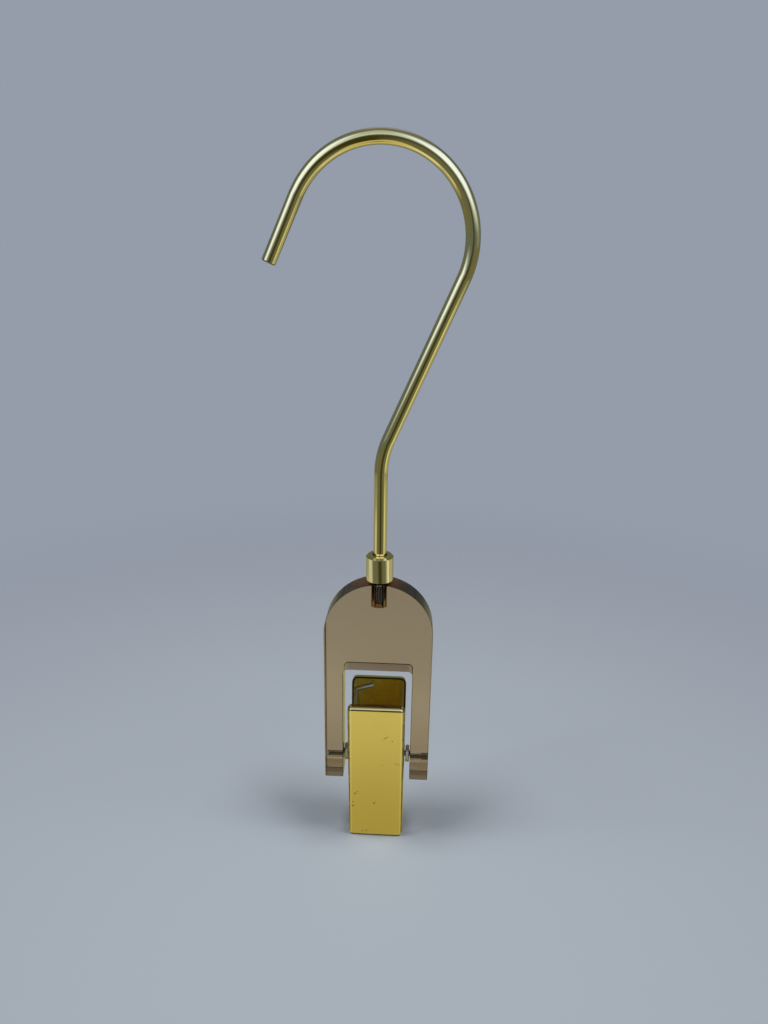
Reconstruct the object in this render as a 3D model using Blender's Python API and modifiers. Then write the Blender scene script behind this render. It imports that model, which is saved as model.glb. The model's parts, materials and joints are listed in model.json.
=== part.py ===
"""Hat clip hanger: a wire hook swivels in the crown of a clear fork, and a sprung clip turns on the fork's cross pin.

Metres, +Z up. The hook's seat, the inside of its top right above the stem, is the origin. The clip faces -Y.
"""

import math

import bmesh
import bpy
from mathutils import Matrix, Vector

# Clearances
SEAT_GAP = 0.0003
JAW_GAP = 0.0003

# Hook, bent from one round wire: sizes run to the middle of the wire, heights start at the fork's crown
WIRE_DIAMETER = 0.0040
HOOK_RADIUS = 0.0246
HOOK_OFFSET = 0.0012
LEAN_ANGLE = math.radians(23.6)
LEAN_HEIGHT = 0.0393
LEAN_BEND_RADIUS = 0.0260
TAIL_ANGLE = math.radians(25.0)
TAIL_LENGTH = 0.0184
WIRE_CHAMFER = 0.0003

# Collar round the foot of the wire
COLLAR_DIAMETER = 0.0084
COLLAR_HEIGHT = 0.0082
COLLAR_CHAMFER = 0.0006
COLLAR_FOOT_CHAMFER = 0.0002

# Swivel insert, a split sleeve that holds the wire's upset head in the fork
BORE_DIAMETER = 0.0050
BORE_DEPTH = 0.0081
INSERT_STAND = 0.0015
INSERT_WALL = 0.00035
INSERT_LIP = 0.0012
INSERT_WAIST_HEIGHT = 0.0046
INSERT_WAIST_CUT = 0.00012
INSERT_SLOT_WIDTH = 0.0016
INSERT_SLOT_TOP = 0.0009
HEAD_HEIGHT = 0.0075
HEAD_LEDGE = 0.00045
HEAD_STEP = 0.00005

# Fork, cut from clear sheet
FORK_WIDTH = 0.0340
FORK_HEIGHT = 0.0700
FORK_THICKNESS = 0.0080
FORK_EDGE = 0.00025
WINDOW_WIDTH = 0.0220
WINDOW_TOP = 0.0295
WINDOW_CORNER = 0.0015

# Cross pin, above the legs' feet, with a sunk head at the right, and the spacers beside the clip
PIN_RISE = 0.0074
PIN_DIAMETER = 0.0018
PIN_HEAD_DIAMETER = 0.0026
PIN_HEAD_LENGTH = 0.0018
PIN_HEAD_SINK = 0.0002
PIN_END_WALL = 0.0006
SPACER_DIAMETER = 0.0054
TURNED_CHAMFER = 0.0002

# Clip, two pressed pans on the pin: lengths run down its middle, spreads from there to a face, width at the pin
CLIP_WIDTH = 0.01845
SIDE_LEAN = math.radians(0.3)
LEVER_LENGTH = 0.0233
JAW_LENGTH = 0.0316
LEVER_SPREAD = 0.0103
JAW_SPREAD = 0.0033
SHEET = 0.0006
PAN_DEPTH = 0.0023
BEND_RADIUS = 0.0010
PAN_CORNER = 0.0019
EAR_MARGIN = 0.0018
EAR_NECK = 0.0046
EAR_FILLET = 0.0010

# Rubber pads inside the jaws
PAD_LENGTH = 0.0140
PAD_SIDE_ROOM = 0.0006
PAD_EDGE = 0.0003

# Torsion spring on the pin
SPRING_WIRE = 0.0010
COIL_RADIUS = 0.0024
COIL_TURNS = 9
SPRING_LEG_HEIGHT = 0.0185
SPRING_LEG_SPLAY = 0.0009
SPRING_FOOT_REACH = 0.0060
SPRING_FOOT_RISE = 0.0018
SPRING_FOOT_BEND = 0.0009
LEAST_COIL_GAP = 0.0004

# Facets
FACET_SAG = 0.00001
WIRE_FACETS = 9
TURNED_STEPS = 40
SMALL_TURNED_STEPS = 24
CURL_POINTS = 10
BEND_SEGMENTS = 4
SMOOTH_ANGLE = math.radians(35)
MERGE = 0.000001
OVERSHOOT = 0.0010

# Heights and places that follow from the sizes above
HOOK_CENTRE_HEIGHT = LEAN_HEIGHT + (HOOK_RADIUS - HOOK_OFFSET * math.cos(LEAN_ANGLE)) / math.sin(LEAN_ANGLE)
SEAT_HEIGHT = HOOK_CENTRE_HEIGHT + math.sqrt((HOOK_RADIUS - WIRE_DIAMETER / 2) ** 2 - HOOK_OFFSET**2)
CROWN_Z = -SEAT_HEIGHT
PIN_DROP = FORK_HEIGHT - PIN_RISE
PIN_Z = CROWN_Z - PIN_DROP
PIN_HOLE_RADIUS = PIN_DIAMETER / 2 + SEAT_GAP
PLATE_ANGLE = math.atan2(LEVER_SPREAD - JAW_SPREAD, LEVER_LENGTH + JAW_LENGTH)
PLATE_TOP = LEVER_LENGTH * math.cos(PLATE_ANGLE) + LEVER_SPREAD * math.sin(PLATE_ANGLE)
PLATE_FOOT = -JAW_LENGTH * math.cos(PLATE_ANGLE) + JAW_SPREAD * math.sin(PLATE_ANGLE)
PLATE_FACE = LEVER_SPREAD * math.cos(PLATE_ANGLE) - LEVER_LENGTH * math.sin(PLATE_ANGLE)
EAR_RADIUS = PIN_HOLE_RADIUS + EAR_MARGIN
INNER_EAR_OUTSIDE = CLIP_WIDTH / 2 - SHEET - SEAT_GAP
COIL_END = INNER_EAR_OUTSIDE - SHEET - SEAT_GAP - SPRING_WIRE / 2
STOOD_UP = Matrix(((0, 0, 1), (1, 0, 0), (0, 1, 0))).to_4x4()


def clear_scene():
    for obj in list(bpy.data.objects):
        bpy.data.objects.remove(obj, do_unlink=True)


def new_collection(name, hidden=False):
    made = bpy.data.collections.new(name)
    made.hide_render = hidden
    bpy.context.scene.collection.children.link(made)
    return made


def new_material(name, colour, roughness, metallic, transmission=0.0):
    made = bpy.data.materials.new(name)
    made.use_nodes = True
    shader = made.node_tree.nodes["Principled BSDF"]
    shader.inputs["Base Color"].default_value = (*colour, 1.0)
    shader.inputs["Roughness"].default_value = roughness
    shader.inputs["Metallic"].default_value = metallic
    shader.inputs["Transmission Weight"].default_value = transmission
    made.diffuse_color = (*colour, 1.0)
    made.metallic = metallic
    made.roughness = roughness
    return made


def new_empty(name, location):
    empty = bpy.data.objects.new(name, None)
    empty.location = location
    parts.objects.link(empty)
    return empty


def add(name, data, holder, material=None, parent=None, location=(0, 0, 0), rotation=(0, 0, 0)):
    obj = bpy.data.objects.new(name, data)
    obj.location = location
    obj.rotation_euler = rotation
    obj.parent = parent
    holder.objects.link(obj)
    if material:
        data.materials.append(material)
    if holder is cutters:
        obj.hide_render = True
        obj.display_type = "WIRE"
    return obj


def realise(obj):
    """Turns a curve, or a mesh with modifiers, into the plain mesh that it shows, with its caps welded."""
    bpy.context.view_layer.update()
    shown = obj.evaluated_get(bpy.context.evaluated_depsgraph_get())
    mesh = bpy.data.meshes.new_from_object(shown)
    work = bmesh.new()
    work.from_mesh(mesh)
    bmesh.ops.remove_doubles(work, verts=work.verts, dist=MERGE)
    work.to_mesh(mesh)
    work.free()
    name, holder, parent, matrix = obj.name, obj.users_collection[0], obj.parent, obj.matrix_world.copy()
    bpy.data.objects.remove(obj, do_unlink=True)
    solid = add(name, mesh, holder, parent=parent)
    solid.matrix_world = matrix
    mesh.name = name
    mesh.shade_smooth()
    mesh.set_sharp_from_angle(angle=SMOOTH_ANGLE)
    return solid


def boolean(obj, other, operation):
    step = obj.modifiers.new(f"{operation.lower()} {other.name}", "BOOLEAN")
    step.operation = operation
    step.solver = "EXACT"
    step.object = other


def bevel(obj, width, segments, by_weight=False):
    step = obj.modifiers.new("edges", "BEVEL")
    step.width = width
    step.segments = segments
    step.limit_method = "WEIGHT" if by_weight else "ANGLE"
    step.angle_limit = math.radians(50)


def arc(centre, radius, start, end):
    """Points on an arc in a plane, both ends included, as many as keep its flats within the facet sag."""
    widest = 2 * math.acos(1 - FACET_SAG / radius)
    steps = max(2, math.ceil(abs(end - start) / widest))
    angles = [start + (end - start) * step / steps for step in range(steps + 1)]
    return [Vector((centre[0] + radius * math.cos(a), centre[1] + radius * math.sin(a))) for a in angles]


def rounded(corners):
    """A closed outline through corners given as (x, y, radius), each turned on an arc of its own radius."""
    outline = []
    for index, (x, y, radius) in enumerate(corners):
        corner = Vector((x, y))
        if not radius:
            outline.append(corner)
            continue
        back = (Vector(corners[index - 1][:2]) - corner).normalized()
        ahead = (Vector(corners[(index + 1) % len(corners)][:2]) - corner).normalized()
        half = back.angle(ahead) / 2
        centre = corner + (back + ahead).normalized() * radius / math.sin(half)
        first = corner + back * radius / math.tan(half) - centre
        last = corner + ahead * radius / math.tan(half) - centre
        start = math.atan2(first.y, first.x)
        sweep = (math.atan2(last.y, last.x) - start + math.pi) % (2 * math.pi) - math.pi
        outline.extend(arc(centre, radius, start, start + sweep))
    return outline


def turned(name, profile, holder, closed=True, steps=TURNED_STEPS, **place):
    """Turns a profile of (radius, height) points, which runs down its outer side, about the object's Z axis."""
    mesh = bpy.data.meshes.new(name)
    edges = [(index, index + 1) for index in range(len(profile) - 1)]
    if closed:
        edges.append((len(profile) - 1, 0))
    mesh.from_pydata([(radius, 0, height) for radius, height in profile], edges, [])
    obj = add(name, mesh, holder, **place)
    screw = obj.modifiers.new("turn", "SCREW")
    screw.steps = screw.render_steps = steps
    screw.use_merge_vertices = True
    screw.merge_threshold = MERGE
    return obj


def slab(name, outline, thickness, holder, **place):
    """A flat piece with the outline in its XY plane and its thickness shared over both sides of that plane."""
    curve = bpy.data.curves.new(name, "CURVE")
    curve.dimensions = "2D"
    curve.fill_mode = "BOTH"
    curve.extrude = thickness / 2
    spline = curve.splines.new("POLY")
    spline.points.add(len(outline) - 1)
    for point, (x, y) in zip(spline.points, outline):
        point.co = (x, y, 0, 1)
    spline.use_cyclic_u = True
    solid = realise(add(name, curve, holder, **place))
    work = bmesh.new()
    work.from_mesh(solid.data)
    bmesh.ops.dissolve_limit(work, angle_limit=math.radians(0.1), verts=work.verts, edges=work.edges)
    work.to_mesh(solid.data)
    work.free()
    return solid


def tube(name, points, radii, resolution, holder, **place):
    """A round bar through the points, with a radius of its own at each point."""
    curve = bpy.data.curves.new(name, "CURVE")
    curve.dimensions = "3D"
    curve.bevel_depth = 1.0
    curve.bevel_resolution = resolution
    curve.use_fill_caps = True
    spline = curve.splines.new("POLY")
    spline.points.add(len(points) - 1)
    for point, place_at, radius in zip(spline.points, points, radii):
        point.co = (*place_at, 1)
        point.radius = radius
    return add(name, curve, holder, **place)


def box(name, low, high, holder, **place):
    work = bmesh.new()
    bmesh.ops.create_cube(work, size=1)
    size = Vector(high) - Vector(low)
    middle = (Vector(high) + Vector(low)) / 2
    work.transform(Matrix.Translation(middle) @ Matrix.Diagonal((*size, 1)))
    mesh = bpy.data.meshes.new(name)
    work.to_mesh(mesh)
    work.free()
    return add(name, mesh, holder, **place)


def weigh_edges(obj, chosen):
    """Gives each edge the share of the full radius, from 0 to 1, that chosen(end, end) tells for it."""
    work = bmesh.new()
    work.from_mesh(obj.data)
    layer = work.edges.layers.float.new("bevel_weight_edge")
    for edge in work.edges:
        edge[layer] = chosen(edge.verts[0].co, edge.verts[1].co)
    work.to_mesh(obj.data)
    work.free()


def hook_swivel_sizes():
    """Radii of the insert's bore, of the wire's head in it and of the neck above the head."""
    bore = BORE_DIAMETER / 2 - SEAT_GAP - INSERT_WALL
    head = bore - SEAT_GAP
    return bore, head, head - HEAD_LEDGE


def make_hook():
    """The wire: upset head, neck, stem, lean to the right, round top and straight tail."""
    _, head, neck = hook_swivel_sizes()
    full = WIRE_DIAMETER / 2
    shoulder = INSERT_STAND + SEAT_GAP
    head_top = INSERT_STAND - INSERT_LIP - SEAT_GAP
    foot = [
        (head_top - HEAD_HEIGHT, head - WIRE_CHAMFER),
        (head_top - HEAD_HEIGHT + WIRE_CHAMFER, head),
        (head_top - HEAD_STEP, head),
        (head_top, neck),
        (shoulder - HEAD_STEP, neck),
        (shoulder, full - WIRE_CHAMFER),
        (shoulder + WIRE_CHAMFER, full),
    ]
    route = [(0, height) for height, _ in foot]
    radii = [radius for _, radius in foot]

    bend_reach = LEAN_BEND_RADIUS * math.tan(LEAN_ANGLE / 2)
    bend_centre = (LEAN_BEND_RADIUS, LEAN_HEIGHT - bend_reach)
    bend = arc(bend_centre, LEAN_BEND_RADIUS, math.pi, math.pi - LEAN_ANGLE)
    loop = arc((-HOOK_OFFSET, HOOK_CENTRE_HEIGHT), HOOK_RADIUS, -LEAN_ANGLE, math.pi - TAIL_ANGLE)
    tail = Vector((-math.sin(TAIL_ANGLE), -math.cos(TAIL_ANGLE)))
    bent = bend + loop + [loop[-1] + tail * (TAIL_LENGTH - WIRE_CHAMFER)]
    route += bent + [loop[-1] + tail * TAIL_LENGTH]
    radii += [full] * len(bent) + [full - WIRE_CHAMFER]
    points = [(x, 0, CROWN_Z + height) for x, height in route]
    return realise(tube("hook_wire", points, radii, WIRE_FACETS, parts, material=gold))


def make_collar(crown):
    """A turned cap over the swivel: a close bore round the wire, and a wider one over the insert."""
    outer = COLLAR_DIAMETER / 2
    over_insert = BORE_DIAMETER / 2
    over_wire = WIRE_DIAMETER / 2 + SEAT_GAP
    step = INSERT_STAND
    profile = [
        (over_wire, COLLAR_HEIGHT),
        (outer - COLLAR_CHAMFER, COLLAR_HEIGHT),
        (outer, COLLAR_HEIGHT - COLLAR_CHAMFER),
        (outer, COLLAR_FOOT_CHAMFER),
        (outer - COLLAR_FOOT_CHAMFER, 0),
        (over_insert, 0),
        (over_insert, step),
        (over_wire, step),
    ]
    place = dict(material=bright_gold, parent=crown, location=(0, 0, SEAT_GAP))
    return realise(turned("collar", profile, parts, **place))


def make_insert(crown):
    """A sleeve with a waist, a lip over the wire's head, and two slots that let its foot spring."""
    outer = BORE_DIAMETER / 2 - SEAT_GAP
    bore, _, neck = hook_swivel_sizes()
    foot = SEAT_GAP - BORE_DEPTH
    waist = foot + INSERT_WAIST_HEIGHT
    profile = [
        (neck + SEAT_GAP, INSERT_STAND),
        (outer - INSERT_WAIST_CUT, INSERT_STAND),
        (outer - INSERT_WAIST_CUT, waist + INSERT_WAIST_CUT),
        (outer, waist),
        (outer, foot),
        (bore, foot),
        (bore, INSERT_STAND - INSERT_LIP),
        (neck + SEAT_GAP, INSERT_STAND - INSERT_LIP),
    ]
    insert = turned("swivel_insert", profile, parts, material=dark_metal, parent=crown)
    half = INSERT_SLOT_WIDTH / 2
    slot_top = arc((0, -INSERT_SLOT_TOP - half), half, 0, math.pi)
    slot_foot = [Vector((-half, foot - OVERSHOOT)), Vector((half, foot - OVERSHOOT))]
    across = dict(parent=crown, rotation=(math.pi / 2, 0, 0))
    slot = slab("insert slot", slot_top + slot_foot, BORE_DIAMETER + OVERSHOOT, cutters, **across)
    boolean(insert, slot, "DIFFERENCE")
    return realise(insert)


def make_fork(crown):
    """The clear body: round crown, two legs, a bore for the insert, and a cross bore closed at the left."""
    side, inside = FORK_WIDTH / 2, WINDOW_WIDTH / 2
    outline = rounded(
        [
            (-side, 0, side),
            (-side, -FORK_HEIGHT, 0),
            (-inside, -FORK_HEIGHT, 0),
            (-inside, -WINDOW_TOP, WINDOW_CORNER),
            (inside, -WINDOW_TOP, WINDOW_CORNER),
            (inside, -FORK_HEIGHT, 0),
            (side, -FORK_HEIGHT, 0),
            (side, 0, side),
        ]
    )
    upright = dict(parent=crown, rotation=(math.pi / 2, 0, 0))
    fork = slab("fork", outline, FORK_THICKNESS, parts, material=smoke, **upright)
    bevel(fork, FORK_EDGE, 2)
    bore_profile = [
        (0, OVERSHOOT),
        (BORE_DIAMETER / 2, OVERSHOOT),
        (BORE_DIAMETER / 2, -BORE_DEPTH),
        (0, -BORE_DEPTH),
    ]
    bore = turned("insert bore", bore_profile, cutters, closed=False, parent=crown)
    mouth = PIN_HEAD_DIAMETER / 2 + SEAT_GAP
    head_seat = side - PIN_HEAD_SINK - PIN_HEAD_LENGTH - SEAT_GAP
    pin_profile = [
        (0, side + OVERSHOOT),
        (mouth, side + OVERSHOOT),
        (mouth, head_seat),
        (PIN_HOLE_RADIUS, head_seat),
        (PIN_HOLE_RADIUS, PIN_END_WALL - side),
        (0, PIN_END_WALL - side),
    ]
    across = dict(parent=crown, location=(0, 0, -PIN_DROP), rotation=(0, math.pi / 2, 0))
    pin_bore = turned("pin bore", pin_profile, cutters, False, SMALL_TURNED_STEPS, **across)
    boolean(fork, bore, "DIFFERENCE")
    boolean(fork, pin_bore, "DIFFERENCE")
    return realise(fork)


def make_pin(axis):
    """The cross pin: its head lies sunk in the right leg, and its plain end stops inside the left one."""
    side = FORK_WIDTH / 2
    head_end = side - PIN_HEAD_SINK
    radius, head = PIN_DIAMETER / 2, PIN_HEAD_DIAMETER / 2
    end = PIN_END_WALL + SEAT_GAP - side
    profile = [
        (0, head_end),
        (head - TURNED_CHAMFER, head_end),
        (head, head_end - TURNED_CHAMFER),
        (head, head_end - PIN_HEAD_LENGTH),
        (radius, head_end - PIN_HEAD_LENGTH),
        (radius, end + TURNED_CHAMFER),
        (radius - TURNED_CHAMFER, end),
        (0, end),
    ]
    across = dict(parent=axis, rotation=(0, math.pi / 2, 0), material=dark_metal)
    return realise(turned("pivot_pin", profile, parts, False, SMALL_TURNED_STEPS, **across))


def make_spacers(axis):
    """Two turned spacers, which fill the room between the clip's sides and the fork's legs."""
    room = (WINDOW_WIDTH - CLIP_WIDTH) / 2
    half = room / 2 - SEAT_GAP
    middle = CLIP_WIDTH / 2 + room / 2
    outer = SPACER_DIAMETER / 2
    profile = [
        (PIN_HOLE_RADIUS, half),
        (outer - TURNED_CHAMFER, half),
        (outer, half - TURNED_CHAMFER),
        (outer, TURNED_CHAMFER - half),
        (outer - TURNED_CHAMFER, -half),
        (PIN_HOLE_RADIUS, -half),
    ]
    for name, side in (("spacer_left", -1), ("spacer_right", 1)):
        place = dict(parent=axis, location=(side * middle, 0, 0), rotation=(0, math.pi / 2, 0), material=steel)
        realise(turned(name, profile, parts, steps=32, **place))


def ear_outline(root, neck):
    """An ear in a plate's own YZ plane: an eye round the pin, on a neck that widens down to the root."""
    reach = math.hypot(root, neck)
    tangent = math.atan2(neck, root) - math.acos(EAR_RADIUS / reach)
    return arc((0, 0), EAR_RADIUS, tangent, -tangent)


def pan_outline(with_ears):
    """A plate seen from its side: the pressed depth, with or without the ears that stand on its edge."""
    edge = PAN_DEPTH - PLATE_FACE
    near_foot = [(-PLATE_FACE, PLATE_FOOT, 0), (edge, PLATE_FOOT, 0)]
    near_top = [(edge, PLATE_TOP, 0), (-PLATE_FACE, PLATE_TOP, 0)]
    if not with_ears:
        return rounded(near_foot + near_top)
    eye = ear_outline(edge, EAR_NECK)
    lower = [(edge, -EAR_NECK, EAR_FILLET)]
    upper = [(edge, EAR_NECK, EAR_FILLET)]
    eye_corners = [(y, z, 0) for y, z in reversed(eye)]
    return rounded(near_foot + lower + eye_corners + upper + near_top)


def lean_sides(mesh):
    """Lets the sides of a piece of the clip spread apart from the levers down to the jaws."""
    for vertex in mesh.vertices:
        vertex.co.x -= math.copysign(math.tan(SIDE_LEAN) * vertex.co.z, vertex.co.x)


def make_plate(name, axis, facing, inner_ears):
    """One pressed plate of the clip: a pan with rolled edges, and two ears that turn on the pin."""
    rotation = (Matrix.Rotation(facing, 3, "Z") @ Matrix.Rotation(PLATE_ANGLE, 3, "X")).to_euler()
    side = CLIP_WIDTH / 2
    plate = slab(name, pan_outline(not inner_ears), CLIP_WIDTH, parts, material=gold_plate)
    plate.data.transform(STOOD_UP)
    lean_sides(plate.data)
    plate.parent = axis
    plate.matrix_parent_inverse = Matrix()
    plate.rotation_euler = rotation

    def rolled(a, b):
        on_face = abs(a.y + PLATE_FACE) < MERGE and abs(b.y + PLATE_FACE) < MERGE
        at_end = all(abs(end.z - PLATE_TOP) < MERGE or abs(end.z - PLATE_FOOT) < MERGE for end in (a, b))
        on_corner = at_end and abs(a.x - b.x) < MERGE and abs(a.z - b.z) < MERGE
        if on_face:
            return BEND_RADIUS / PAN_CORNER
        return float(on_corner)

    weigh_edges(plate, rolled)
    bevel(plate, PAN_CORNER, BEND_SEGMENTS, by_weight=True)

    turned_with = dict(parent=axis, rotation=rotation)
    low = (SHEET - side, SHEET - PLATE_FACE, PLATE_FOOT + SHEET)
    high = (side - SHEET, EAR_RADIUS + OVERSHOOT, PLATE_TOP - SHEET)
    hollow = box(name + " hollow", low, high, cutters, **turned_with)
    lean_sides(hollow.data)

    def inner_roll(a, b):
        on_floor = abs(a.y - low[1]) < MERGE and abs(b.y - low[1]) < MERGE
        on_corner = abs(a.x - b.x) < MERGE and abs(a.z - b.z) < MERGE
        if on_floor:
            return (BEND_RADIUS - SHEET) / (PAN_CORNER - SHEET)
        return float(on_corner)

    weigh_edges(hollow, inner_roll)
    bevel(hollow, PAN_CORNER - SHEET, BEND_SEGMENTS, by_weight=True)
    boolean(plate, hollow, "DIFFERENCE")

    if inner_ears:
        root = SHEET / 2 - PLATE_FACE
        ear = [(root, -EAR_NECK), *[(y, z) for y, z in reversed(ear_outline(root, EAR_NECK))], (root, EAR_NECK)]
        for word, sign in (("left", -1), ("right", 1)):
            tab = slab(f"{name} {word} ear", [Vector(point) for point in ear], SHEET, cutters)
            tab.data.transform(STOOD_UP)
            tab.data.transform(Matrix.Translation((sign * (INNER_EAR_OUTSIDE - SHEET / 2), 0, 0)))
            tab.parent = axis
            tab.matrix_parent_inverse = Matrix()
            tab.rotation_euler = rotation
            boolean(plate, tab, "UNION")

    hole_profile = [(0, side + OVERSHOOT), (PIN_HOLE_RADIUS, side + OVERSHOOT)]
    hole_profile += [(PIN_HOLE_RADIUS, -side - OVERSHOOT), (0, -side - OVERSHOOT)]
    across = dict(parent=axis, rotation=(0, math.pi / 2, 0))
    hole = turned(name + " pin hole", hole_profile, cutters, False, SMALL_TURNED_STEPS, **across)
    boolean(plate, hole, "DIFFERENCE")
    return realise(plate)


def make_pad(name, axis, facing):
    """A rubber pad in a jaw's pan: its lower edge meets the other pad on the clip's middle."""
    rotation = (Matrix.Rotation(facing, 3, "Z") @ Matrix.Rotation(PLATE_ANGLE, 3, "X")).to_euler()
    half = CLIP_WIDTH / 2 - SHEET - PAD_SIDE_ROOM
    foot = PLATE_FOOT + SHEET + PAD_SIDE_ROOM
    back = SHEET + SEAT_GAP - PLATE_FACE
    face = foot * math.tan(PLATE_ANGLE) - JAW_GAP / 2 / math.cos(PLATE_ANGLE)
    low, high = (-half, back, foot), (half, face, foot + PAD_LENGTH)
    pad = box(name, low, high, parts, material=rubber, parent=axis, rotation=rotation)
    lean_sides(pad.data)
    bevel(pad, PAD_EDGE, 2)
    return realise(pad)


def spring_route():
    """The spring's centreline about the pin: foot, leg, coil, and the same turned half round about Z."""
    to_plate = (SHEET + SEAT_GAP + SPRING_WIRE / 2) / math.cos(PLATE_ANGLE)
    slope = math.tan(PLATE_ANGLE)
    at_pin = LEVER_SPREAD - LEVER_LENGTH * slope - to_plate

    def on_plate(x, height):
        return Vector((x, at_pin + slope * height, height))

    corner = on_plate(-COIL_END - SPRING_LEG_SPLAY, SPRING_LEG_HEIGHT)
    foot_end = on_plate(corner.x + SPRING_FOOT_REACH, SPRING_LEG_HEIGHT + SPRING_FOOT_RISE)
    reach = math.hypot(corner.y, corner.z)
    leave = math.atan2(corner.z, corner.y) - math.acos(COIL_RADIUS / reach)
    leg_foot = Vector((-COIL_END, COIL_RADIUS * math.cos(leave), COIL_RADIUS * math.sin(leave)))
    along_foot = (foot_end - corner).normalized() * SPRING_FOOT_BEND
    along_leg = (leg_foot - corner).normalized() * SPRING_FOOT_BEND
    bend = [corner + along_foot, corner + (along_foot + along_leg) / 4, corner + along_leg]
    half_round = Matrix.Rotation(math.pi, 3, "Z")
    sweep = COIL_TURNS * 2 * math.pi - (math.pi - 2 * leave)
    steps = math.ceil(sweep / (2 * math.pi) * CURL_POINTS)
    coil = []
    for step in range(steps + 1):
        share = step / steps
        angle = leave - sweep * share
        x = COIL_END * (2 * share - 1)
        coil.append(Vector((x, COIL_RADIUS * math.cos(angle), COIL_RADIUS * math.sin(angle))))
    start = [foot_end, *bend]
    return start + coil + [half_round @ point for point in reversed(start)]


def least_gap(route, thickness, apart):
    """The least distance between the tube and itself, taken on points more than apart along the route."""
    along = [0.0]
    for before, after in zip(route, route[1:]):
        along.append(along[-1] + (after - before).length)
    least = math.inf
    for first in range(len(route)):
        for second in range(first + 1, len(route)):
            if along[second] - along[first] > apart:
                least = min(least, (route[first] - route[second]).length)
    return least - thickness


def make_spring(axis):
    route = spring_route()
    gap = least_gap(route, SPRING_WIRE, math.pi * COIL_RADIUS)
    print(f"torsion spring: least gap to itself {gap * 1000:.2f} mm, wanted over {LEAST_COIL_GAP * 1000:.2f} mm")
    radii = [SPRING_WIRE / 2] * len(route)
    return realise(tube("torsion_spring", route, radii, 1, parts, material=steel, parent=axis))


clear_scene()
parts = new_collection("hat clip hanger")
cutters = new_collection("cutters", hidden=True)
gold = new_material("gold wire", (0.70, 0.60, 0.25), 0.18, 1.0)
bright_gold = new_material("turned gold", (0.74, 0.66, 0.36), 0.16, 1.0)
gold_plate = new_material("gold plate", (0.75, 0.60, 0.20), 0.28, 1.0)
dark_metal = new_material("dark metal", (0.10, 0.09, 0.08), 0.35, 1.0)
steel = new_material("steel", (0.48, 0.47, 0.44), 0.30, 1.0)
smoke = new_material("smoke acrylic", (0.72, 0.58, 0.42), 0.03, 0.0, transmission=1.0)
rubber = new_material("rubber", (0.05, 0.05, 0.05), 0.75, 0.0)

swivel_axis = new_empty("swivel axis", (0, 0, CROWN_Z))
pin_axis = new_empty("pin axis", (0, 0, PIN_Z))
make_hook()
make_collar(swivel_axis)
make_insert(swivel_axis)
make_fork(swivel_axis)
make_pin(pin_axis)
make_spacers(pin_axis)
make_plate("front_jaw", pin_axis, 0, inner_ears=False)
make_plate("rear_jaw", pin_axis, math.pi, inner_ears=True)
make_pad("front_pad", pin_axis, 0)
make_pad("rear_pad", pin_axis, math.pi)
make_spring(pin_axis)
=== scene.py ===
"""The looks of the hat clip hanger: plated wire and plates, tinted acrylic, steel spring and pin, rubber pads."""

import json
import math

import bpy
from mathutils import Matrix, Vector


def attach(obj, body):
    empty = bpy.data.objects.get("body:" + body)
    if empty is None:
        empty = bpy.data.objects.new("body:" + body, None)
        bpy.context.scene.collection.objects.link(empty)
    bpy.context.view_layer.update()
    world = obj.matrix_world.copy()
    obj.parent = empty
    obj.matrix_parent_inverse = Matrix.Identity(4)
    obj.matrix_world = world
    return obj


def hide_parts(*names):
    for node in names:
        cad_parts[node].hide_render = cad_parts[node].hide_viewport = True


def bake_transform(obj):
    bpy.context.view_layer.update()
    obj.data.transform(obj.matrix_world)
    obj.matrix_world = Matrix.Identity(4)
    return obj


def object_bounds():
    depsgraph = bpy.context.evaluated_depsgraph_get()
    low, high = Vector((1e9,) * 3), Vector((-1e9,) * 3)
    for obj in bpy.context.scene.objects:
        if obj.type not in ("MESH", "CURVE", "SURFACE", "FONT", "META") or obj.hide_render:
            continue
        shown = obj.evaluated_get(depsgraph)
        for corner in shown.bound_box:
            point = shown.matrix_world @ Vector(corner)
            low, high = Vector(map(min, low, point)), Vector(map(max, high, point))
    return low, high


# The camera, in metres and degrees, for a picture of 768 by 1024
IMAGE_HEIGHT = 1024
FOCAL_PIXELS = 709.6
SENSOR_HEIGHT = 36.0
CAMERA_PLACE = (0.00956, -0.20088, -0.03273)
CAMERA_TURN = -2.429
CAMERA_TILT = 18.121
CAMERA_ROLL = 0.931
CAMERA_NEAR = 0.005
CAMERA_FAR = 50

# Shaping of the welded metal, in metres and degrees
WELD_GAP = 0.000002
CREASE = 25.0

# The torsion spring on the cross pin, in metres from the pin's middle, as the machined part has it
SPRING_WIRE = 0.0010
COIL_RADIUS = 0.0024
COIL_TURNS = 9
COIL_END = 0.006925
LEG_CORNER = (-0.007825, 0.008277, 0.0185)
FOOT_END = (-0.001825, 0.008506, 0.0203)
FOOT_BEND = 0.0009
LEG_IN_COIL = 0.0012

# The fineness of its mesh, the rounding of its ends as a share of its radius, and its sharp edges in degrees
STEPS_PER_TURN = 40
BEND_STEPS = 8
WIRE_SIDES = 16
WIRE_END_ROUND = 0.3
WIRE_SHARP = 60

# The clip's plates, in metres and radians from the pin, as the machined part has them
PLATE_ANGLE = 0.12682
PLATE_SIDE = 0.009225
PLATE_FOOT = -0.03093
PLATE_TOP = 0.02442
SIDE_LEAN = math.radians(0.3)
PLATE_FACE = -0.00727
PLATE_RIM = PLATE_FACE + 0.0023

# Strips beside those faces, sides, feet, tops and cut edges where shade and a highlight are painted and the cut edge
# is darker, in metres from each
FACE_STRIP = (0.0007, 0.0010)
ROLLED_STRIP = (0.00086, 0.00066)
HIGHLIGHT_STRIP = (0.00130, 0.00086)
FOOT_STRIP = (0.00038, 0.00062)
TOP_STRIP = (0.00105, 0.00055)
CUT_STRIP = (0.00003, 0.00008)
STRIP_SOFT = 0.0002

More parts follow.
